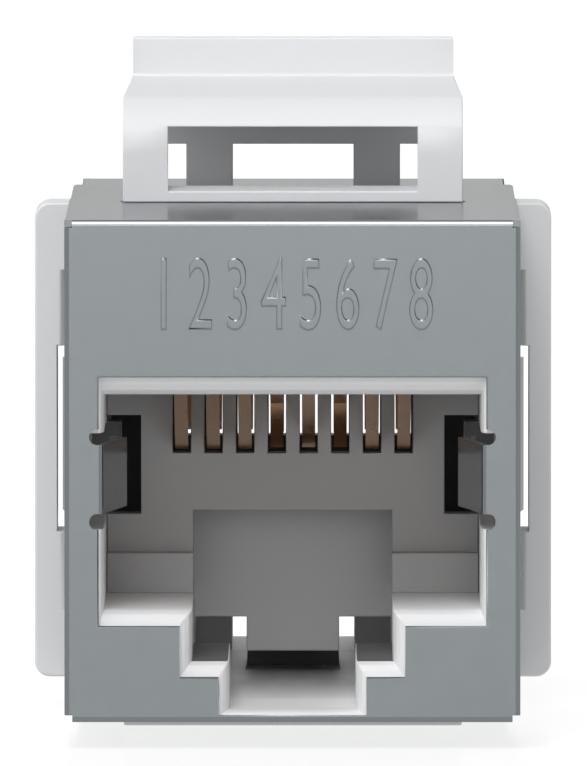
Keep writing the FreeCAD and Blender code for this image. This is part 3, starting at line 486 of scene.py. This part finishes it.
@dataclass
class Mouldings:
    """The plastic pieces that stay still: sockets, centre body and contact blocks."""

    sockets: Tuple[str, ...] = ("front_socket", "rear_socket")
    center: str = "center_body"
    combs: Tuple[str, ...] = ("front_contact_block", "rear_contact_block")
    socket_edges: SoftEdges = SoftEdges(0.04 * MM, join_flat=False, smooth_angle=math.radians(5.0))
    center_edges: SoftEdges = SoftEdges(0.05 * MM)
    comb_edges: SoftEdges = SoftEdges(0.03 * MM)
    joint_low: float = 6.95 * MM
    joint_high: float = 7.05 * MM
    step_low: float = 2.7 * MM
    step_high: float = 2.9 * MM
    well_end: float = 4.0 * MM
    well_slack: float = 0.05 * MM
    well_top: float = 2.2 * MM

    def build(self, socket: bpy.types.Material, body: bpy.types.Material, comb: bpy.types.Material,
              inner: bpy.types.Material) -> None:
        """Make each moulding in its plastic.

        Args:
            socket: Finish of the two sockets.
            body: Finish of the centre body.
            comb: Finish of the contact blocks.
            inner: A dark grey painted as shade on the walls where the centre body and the blocks meet, on the
                low step's floor and on the end of the tunnel's well.
        """
        for node in self.sockets:
            piece = self.socket_edges.copy(node, Body.HOUSING, Slot.SOCKET, socket)
            # Painted shade: the low step's floor gets the dark grey in place of the shadow that falls on it.
            repaint(piece, inner, self.is_step_floor)
        center = self.center_edges.copy(self.center, Body.HOUSING, Slot.BODY, body)
        # Painted shade: the joint walls and the end of the tunnel's well get the dark grey in place of the
        # shadow inside.
        repaint(center, inner, self.is_inner_wall)
        for node in self.combs:
            block = self.comb_edges.copy(node, Body.HOUSING, Slot.COMB, comb)
            # Painted shade: the joint walls of each block get the dark grey in place of the shadow in the
            # side pockets.
            repaint(block, inner, self.is_joint_wall)

    def is_step_floor(self, face: bpy.types.MeshPolygon) -> bool:
        """Tell whether a face is the floor of the port's low step.

        Args:
            face: A face of a socket.

        Returns:
            True for a face of that floor.
        """
        return face.normal.z > LEVEL and self.step_low < face.center.z < self.step_high

    def is_inner_wall(self, face: bpy.types.MeshPolygon) -> bool:
        """Tell whether a face of the centre body is a joint wall or the end of the tunnel's well.

        Args:
            face: A face of the centre body.

        Returns:
            True for a face of those walls.
        """
        at_end = abs(face.center.y - self.well_end) < self.well_slack and face.center.z < self.well_top
        return self.is_joint_wall(face) or (at_end and face.normal.y < -FACING)

    def is_joint_wall(self, face: bpy.types.MeshPolygon) -> bool:
        """Tell whether a face is where the centre body and a contact block meet.

        Args:
            face: A face of a moulding.

        Returns:
            True for a face of the joint, which only the side pockets show.
        """
        return abs(face.normal.y) > FACING and self.joint_low < abs(face.center.y) < self.joint_high


@dataclass
class PressLatch:
    """The springy arch on top."""

    node: str = "latch"
    edges: SoftEdges = SoftEdges(0.05 * MM)

    def build(self, body: bpy.types.Material) -> None:
        """Make the latch in the centre body's plastic.

        Args:
            body: Finish of the centre body.
        """
        self.edges.copy(self.node, Body.LATCH, Slot.BODY, body)


@dataclass
class Contacts:
    """The spring contacts and the board that joins them."""

    board: str = "circuit_board"

    def names(self) -> List[str]:
        """List the contacts of both ports.

        Returns:
            Their node names.
        """
        return [f"{port.value}_contact_{number}" for port in Port for number in range(1, CONTACT_COUNT + 1)]

    def dress(self, metal: bpy.types.Material, laminate: bpy.types.Material) -> None:
        """Give the contacts their plating and the board its solder mask.

        Args:
            metal: Finish of the contacts.
            laminate: Finish of the board.
        """
        for name in self.names():
            dress(name, metal)
        dress(self.board, laminate)


@dataclass
class PinNumerals:
    """Numbers coined in the face plate, one for each contact."""

    pitch: float = 1.17 * MM
    height: float = 2.3 * MM
    width: float = 0.8 * MM
    relief: float = 0.05 * MM
    level: float = 14.36 * MM
    glyph_extrude: float = 0.02
    glyph_bevel: float = 0.02
    glyph_inset: float = -0.014
    bevel_steps: int = 2
    curve_steps: int = 6

    def build(self, metal: bpy.types.Material) -> bpy.types.Object:
        """Raise the numbers on the front shield.

        Args:
            metal: Finish of the shield.

        Returns:
            One mesh object with all the numbers.
        """
        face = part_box("front_shield")[0][1]
        glyphs = [self.glyph(str(number)) for number in range(1, CONTACT_COUNT + 1)]
        widest = max(glyph.dimensions.x for glyph in glyphs)
        joined = bmesh.new()
        for index, glyph in enumerate(glyphs):
            across = (index - (CONTACT_COUNT - 1) / 2) * self.pitch
            size = glyph.dimensions
            depth = 2 * self.relief / size.z
            stretch = Matrix.Diagonal((self.width / widest, self.height / size.y, depth, 1.0))
            upright = Matrix.Rotation(math.radians(90.0), 4, "X")
            mesh = bpy.data.meshes.new_from_object(glyph)
            mesh.transform(Matrix.Translation((across, face, self.level)) @ upright @ stretch)
            joined.from_mesh(mesh)
            bpy.data.meshes.remove(mesh)
            bpy.data.curves.remove(glyph.data)
        mesh = bpy.data.meshes.new("pin_numerals")
        joined.to_mesh(mesh)
        joined.free()
        mesh.materials.append(metal)
        piece = bpy.data.objects.new("pin_numerals", mesh)
        bpy.context.collection.objects.link(piece)
        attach(piece, Body.HOUSING.value)
        LOG.info("built %s", piece.name)
        return piece

    def glyph(self, text: str) -> bpy.types.Object:
        """Set one number as a raised text curve around the origin.

        Args:
            text: The number.

        Returns:
            The text object.
        """
        curve = bpy.data.curves.new("numeral", "FONT")
        curve.body = text
        curve.align_x = "CENTER"
        curve.align_y = "CENTER"
        curve.extrude = self.glyph_extrude
        curve.bevel_depth = self.glyph_bevel
        curve.offset = self.glyph_inset
        curve.bevel_resolution = self.bevel_steps
        curve.resolution_u = self.curve_steps
        carrier = bpy.data.objects.new("numeral", curve)
        bpy.context.collection.objects.link(carrier)
        bpy.context.view_layer.update()
        return carrier


@dataclass(frozen=True)
class Softbox:
    """A soft patch of light in the room, far away in one direction.

    Args:
        name: The softbox's name.
        toward: Direction from the object to its middle.
        core: Half angle of the even part, in degrees.
        rim: Half angle where its light ends, in degrees.
        strength: Its brightness.
    """

    name: str
    toward: Tuple[float, float, float]
    core: float
    rim: float
    strength: float


ROOM = (
    Softbox("key", (-0.1, -0.77, 0.64), 8.0, 18.0, 4.2),
    Softbox("front_top", (-0.1, -0.5, 0.87), 8.0, 18.0, 4.2),
    Softbox("overhead", (-0.08, -0.17, 0.98), 8.0, 18.0, 1.5),
    Softbox("rear_top", (0.0, 0.17, 0.98), 8.0, 18.0, 0.5),
    Softbox("front", (0.0, -1.0, -0.08), 12.0, 26.0, 2.3),
    Softbox("front_left", (-0.7, -0.7, 0.1), 18.0, 38.0, 0.2),
    Softbox("left", (-1.0, 0.0, 0.2), 25.0, 50.0, 0.3),
    Softbox("right", (1.0, 0.0, 0.2), 25.0, 50.0, 0.3),
    Softbox("left_high", (-0.7, -0.25, 0.67), 18.0, 40.0, 0.9),
    Softbox("rear_low", (0.0, 1.0, 0.03), 7.0, 15.0, 0.58),
    Softbox("rear_high", (0.0, 0.8, 0.6), 18.0, 34.0, 0.4),
    Softbox("rear_left", (-0.7, 0.6, 0.4), 25.0, 55.0, 0.3),
    Softbox("rear_right", (0.7, 0.6, 0.4), 25.0, 55.0, 0.3),
    Softbox("front_right", (0.7, -0.65, 0.3), 20.0, 45.0, 0.12),
)


@dataclass
class Studio:
    """Floor, room light and camera."""

    floor_half: float = 3.0
    floor_tone: float = 0.3
    floor_glow: float = 1.03
    floor_mirror: float = 0.3
    floor_bounce: float = 0.6
    floor_roughness: float = 0.9
    mirror_roughness: float = 0.1
    ambient: float = 0.05
    camera_distance: float = 0.8
    camera_pitch: float = 3.1
    camera_yaw: float = 0.06
    frame_height: float = 24.35 * MM
    sensor: float = 36.0
    target: Tuple[float, float, float] = (0.035 * MM, -18.0 * MM, 11.667 * MM)

    def build(self) -> None:
        """Set up everything that isn't part of the object."""
        self.build_floor()
        self.build_world()
        self.build_camera()
        bpy.context.scene.view_settings.view_transform = "Standard"

    def build_floor(self) -> None:
        """Lay a lit white floor that keeps a faint shadow and mirror image."""
        shell = bmesh.new()
        bmesh.ops.create_grid(shell, x_segments=1, y_segments=1, size=self.floor_half)
        mesh = bpy.data.meshes.new("floor")
        shell.to_mesh(mesh)
        shell.free()
        material, shader = new_material("floor_card")
        tree = material.node_tree
        seen = tree.nodes.new("ShaderNodeLightPath").outputs["Is Camera Ray"]
        tree.links.new(spread_value(tree, seen, 0.0, self.floor_tone), shader.inputs["Base Color"])
        glow = spread_value(tree, seen, self.floor_bounce, self.floor_glow)
        tree.links.new(glow, shader.inputs["Emission Strength"])
        shader.inputs["Emission Color"].default_value = (1.0, 1.0, 1.0, 1.0)
        shader.inputs["Roughness"].default_value = self.floor_roughness
        shader.inputs["Specular IOR Level"].default_value = 0.0
        gloss = tree.nodes.new("ShaderNodeBsdfGlossy")
        gloss.inputs["Roughness"].default_value = self.mirror_roughness
        mirror = tree.nodes.new("ShaderNodeMixShader")
        tree.links.new(spread_value(tree, seen, 0.0, self.floor_mirror), mirror.inputs["Fac"])
        tree.links.new(shader.outputs["BSDF"], mirror.inputs[1])
        tree.links.new(gloss.outputs["BSDF"], mirror.inputs[2])
        tree.links.new(mirror.outputs["Shader"], tree.nodes["Material Output"].inputs["Surface"])
        mesh.materials.append(material)
        floor = bpy.data.objects.new("floor", mesh)
        bpy.context.collection.objects.link(floor)

    def build_world(self) -> None:
        """Light the room with its softboxes, and leave it white where the camera sees it."""
        world = bpy.data.worlds.new("studio")
        world.use_nodes = True
        bpy.context.scene.world = world
        tree = world.node_tree
        view = tree.nodes.new("ShaderNodeTexCoord").outputs["Generated"]
        total = tree.nodes.new("ShaderNodeValue").outputs[0]
        total.default_value = self.ambient
        for box in ROOM:
            total = self.add_softbox(tree, view, box, total)
        path = tree.nodes.new("ShaderNodeLightPath")
        seen = tree.nodes.new("ShaderNodeMix")
        seen.inputs["B"].default_value = 1.0
        tree.links.new(path.outputs["Is Camera Ray"], seen.inputs["Factor"])
        tree.links.new(total, seen.inputs["A"])
        tree.links.new(seen.outputs["Result"], tree.nodes["Background"].inputs["Strength"])
        tree.nodes["Background"].inputs["Color"].default_value = (1.0, 1.0, 1.0, 1.0)

    def add_softbox(self, tree: bpy.types.NodeTree, view: bpy.types.NodeSocket, box: Softbox,
                    total: bpy.types.NodeSocket) -> bpy.types.NodeSocket:
        """Add one softbox to the room's brightness.

        Args:
            tree: The world's tree.
            view: Direction that the room is seen in.
            box: The softbox.
            total: Brightness so far.

        Returns:
            The brightness with the softbox.
        """
        toward = tree.nodes.new("ShaderNodeVectorMath")
        toward.operation = "DOT_PRODUCT"
        toward.inputs[1].default_value = Vector(box.toward).normalized()
        tree.links.new(view, toward.inputs[0])
        fade = tree.nodes.new("ShaderNodeMapRange")
        fade.name = box.name
        fade.interpolation_type = "SMOOTHSTEP"
        fade.inputs["From Min"].default_value = math.cos(math.radians(box.rim))
        fade.inputs["From Max"].default_value = math.cos(math.radians(box.core))
        fade.inputs["To Max"].default_value = box.strength
        tree.links.new(toward.outputs["Value"], fade.inputs["Value"])
        add = tree.nodes.new("ShaderNodeMath")
        add.operation = "ADD"
        tree.links.new(total, add.inputs[0])
        tree.links.new(fade.outputs["Result"], add.inputs[1])
        return add.outputs["Value"]

    def build_camera(self) -> None:
        """Set a long lens in front, looking down a little, near enough that other views aren't clipped."""
        data = bpy.data.cameras.new("camera")
        data.sensor_width = self.sensor
        data.lens = self.sensor * self.camera_distance / self.frame_height
        camera = bpy.data.objects.new("camera", data)
        pitch = math.radians(self.camera_pitch)
        yaw = math.radians(self.camera_yaw)
        back = Vector((math.sin(yaw) * math.cos(pitch), -math.cos(yaw) * math.cos(pitch), math.sin(pitch)))
        camera.location = Vector(self.target) + back * self.camera_distance
        camera.rotation_euler = (math.radians(90.0) - pitch, 0.0, yaw)
        bpy.context.collection.objects.link(camera)
        bpy.context.scene.camera = camera


def main() -> None:
    """Dress the coupler and set up the studio."""
    logging.basicConfig(level=logging.INFO)
    groups = FinishGroups()
    shield = PlatedSheet("shield_plating", PLATING_SHADE, PLATING_TINT, PLATING_ROUGHNESS)
    # The fingers' plating is the shield's with full edge tint: a painted sheen that lifts them out of the
    # port's shade.
    finger = PlatedSheet("finger_plating", PLATING_SHADE, PLATING_TINT, PLATING_ROUGHNESS, edge_tint=1.0)
    contact = PlatedSheet("contact_plating", (0.78, 0.48, 0.29), (0.84, 0.53, 0.33), 0.28, edge_tint=1.0)
    plating = shield.material(groups)
    finger_sheen = finger.material(groups)
    white = MouldedPlastic("white_moulding", (0.795, 0.803, 0.818), (0.815, 0.823, 0.838)).material(groups)
    socket = MouldedPlastic("socket_moulding", (0.86, 0.865, 0.875), (0.88, 0.885, 0.895)).material(groups)
    comb = MouldedPlastic("comb_moulding", (0.42, 0.42, 0.42), (0.45, 0.45, 0.45)).material(groups)
    # A dark grey painted as shade on inner faces that lie in shadow; the plastic there is the same as around
    # it.
    inner = MouldedPlastic("painted_shade_moulding", (0.13, 0.13, 0.13), (0.14, 0.14, 0.14)).material(groups)
    bronze = contact.material(groups)
    mask = MouldedPlastic("solder_mask", (0.02, 0.12, 0.06), (0.03, 0.15, 0.08), 0.3).material(groups)
    ShieldPair().build(plating, finger_sheen)
    Mouldings().build(socket, white, comb, inner)
    PressLatch().build(white)
    Contacts().dress(bronze, mask)
    PinNumerals().build(plating)
    Studio().build()


if __name__ == "__main__":
    main()
